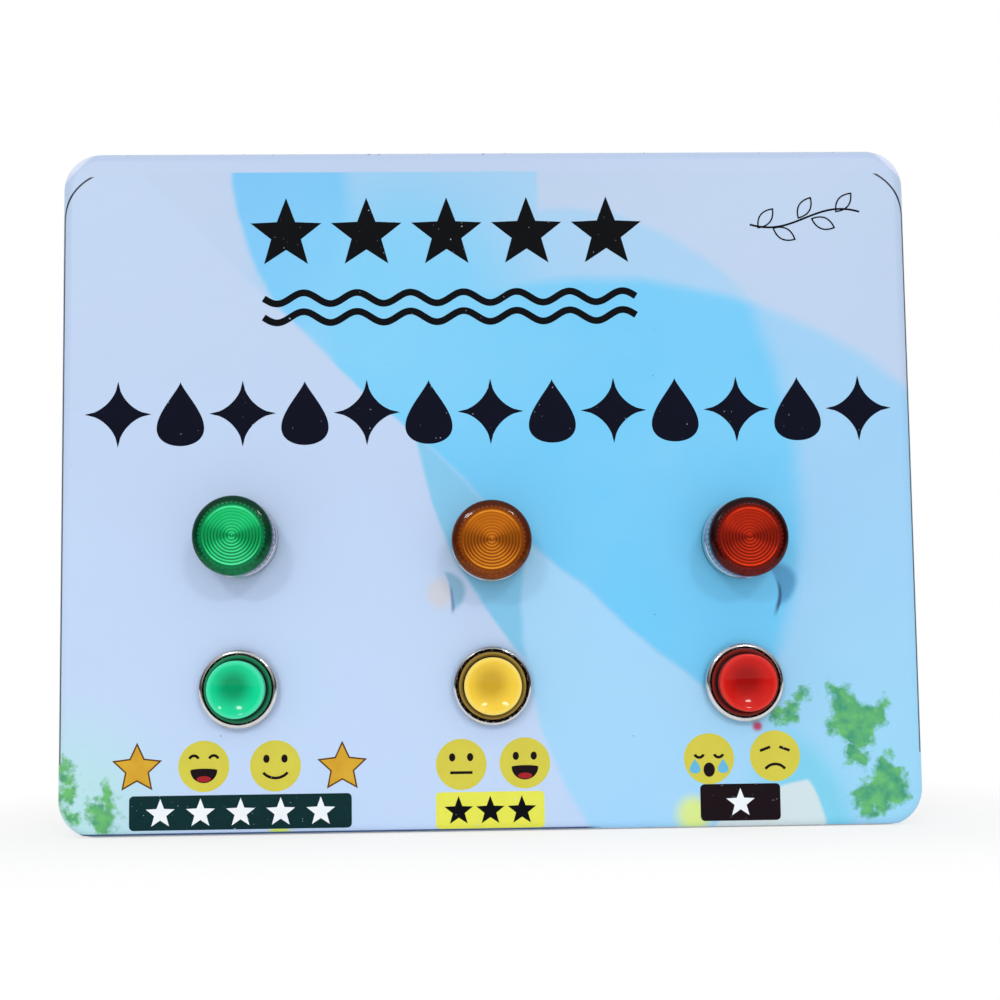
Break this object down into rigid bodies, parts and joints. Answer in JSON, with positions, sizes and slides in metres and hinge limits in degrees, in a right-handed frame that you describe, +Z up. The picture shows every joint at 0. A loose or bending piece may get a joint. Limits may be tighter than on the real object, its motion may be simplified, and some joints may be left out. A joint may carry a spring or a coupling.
{
  "type": "customer feedback button terminal",
  "caption": "Wall box with a printed front for rating a service: coloured pilot lamps above matching sprung push buttons, with switches and a controller board inside.",
  "frame": {"origin": "centre of the wall face, the rear face of the back plate", "axes": "+X to the right as the customer sees it, +Y out of the back into the wall, +Z up; the printed front faces -Y"},
  "size_m": [0.322, 0.1019, 0.2552],
  "materials": {
    "cover_paint": "satin powder coat",
    "print_film": "glossy printed vinyl film",
    "plate_steel": "zinc plated sheet",
    "black_rubber": "moulded rubber",
    "screw_steel": "zinc plated",
    "brass": "bright",
    "circuit_board": "solder mask",
    "chip_black": "moulded epoxy",
    "shield_steel": "tinned",
    "connector_green": "moulded nylon",
    "black_plastic": "moulded nylon",
    "chrome_plating": "bright plating",
    "lens_green": "clear green acrylic",
    "lens_amber": "clear amber acrylic",
    "lens_red": "clear red acrylic",
    "led_white": "cast epoxy",
    "cap_green": "glossy",
    "cap_yellow": "glossy",
    "cap_red": "glossy",
    "guide_green": "satin",
    "guide_yellow": "satin",
    "guide_red": "satin",
    "spring_steel": "bright wire",
    "switch_grey": "moulded nylon",
    "wire_jacket": "soft vinyl"
  },
  "bodies": {
    "box": {"amber_lamp_body": "black_plastic", "amber_lamp_lens": "lens_amber", "amber_lamp_light": "led_white", "amber_lamp_sleeve": "chrome_plating", "amber_lamp_terminals": "brass", "back_plate": "plate_steel", "board_screws": "screw_steel", "board_spacers": "brass", "button_connector": "connector_green", "button_wires": "wire_jacket", "cable_grommet": "black_rubber", "controller_board": "circuit_board", "cover_screws": "screw_steel", "front_cover": "cover_paint", "graphic_overlay": "print_film", "green_button_bezel": "chrome_plating", "green_button_body": "black_plastic", "green_button_contacts": "brass", "green_button_guide": "guide_green", "green_button_spring": "spring_steel", "green_button_switch": "switch_grey", "green_lamp_body": "black_plastic", "green_lamp_lens": "lens_green", "green_lamp_light": "led_white", "green_lamp_sleeve": "chrome_plating", "green_lamp_terminals": "brass", "lamp_connector": "connector_green", "lamp_wires": "wire_jacket", "panel_gaskets": "black_rubber", "panel_nuts": "black_plastic", "processor": "chip_black", "radio_module": "shield_steel", "red_button_bezel": "chrome_plating", "red_button_body": "black_plastic", "red_button_contacts": "brass", "red_button_guide": "guide_red", "red_button_spring": "spring_steel", "red_button_switch": "switch_grey", "red_lamp_body": "black_plastic", "red_lamp_lens": "lens_red", "red_lamp_light": "led_white", "red_lamp_sleeve": "chrome_plating", "red_lamp_terminals": "brass", "supply_connector": "connector_green", "yellow_button_bezel": "chrome_plating", "yellow_button_body": "black_plastic", "yellow_button_contacts": "brass", "yellow_button_guide": "guide_yellow", "yellow_button_spring": "spring_steel", "yellow_button_switch": "switch_grey"},
    "green_press": {"green_button_cap": "cap_green", "green_button_plunger": "black_plastic", "green_button_bridge": "brass"},
    "yellow_press": {"yellow_button_cap": "cap_yellow", "yellow_button_plunger": "black_plastic", "yellow_button_bridge": "brass"},
    "red_press": {"red_button_cap": "cap_red", "red_button_plunger": "black_plastic", "red_button_bridge": "brass"}
  },
  "joints": [
    {"name": "green_button_press", "type": "slide", "parent": "box", "child": "green_press", "axis": [0, 1, 0], "range_m": [0, 0.004], "stiffness_N_per_m": 400, "springref_m": -0.005, "deforming": ["green_button_spring"]},
    {"name": "yellow_button_press", "type": "slide", "parent": "box", "child": "yellow_press", "axis": [0, 1, 0], "range_m": [0, 0.004], "stiffness_N_per_m": 400, "springref_m": -0.005, "deforming": ["yellow_button_spring"]},
    {"name": "red_button_press", "type": "slide", "parent": "box", "child": "red_press", "axis": [0, 1, 0], "range_m": [0, 0.004], "stiffness_N_per_m": 400, "springref_m": -0.005, "deforming": ["red_button_spring"]}
  ]
}
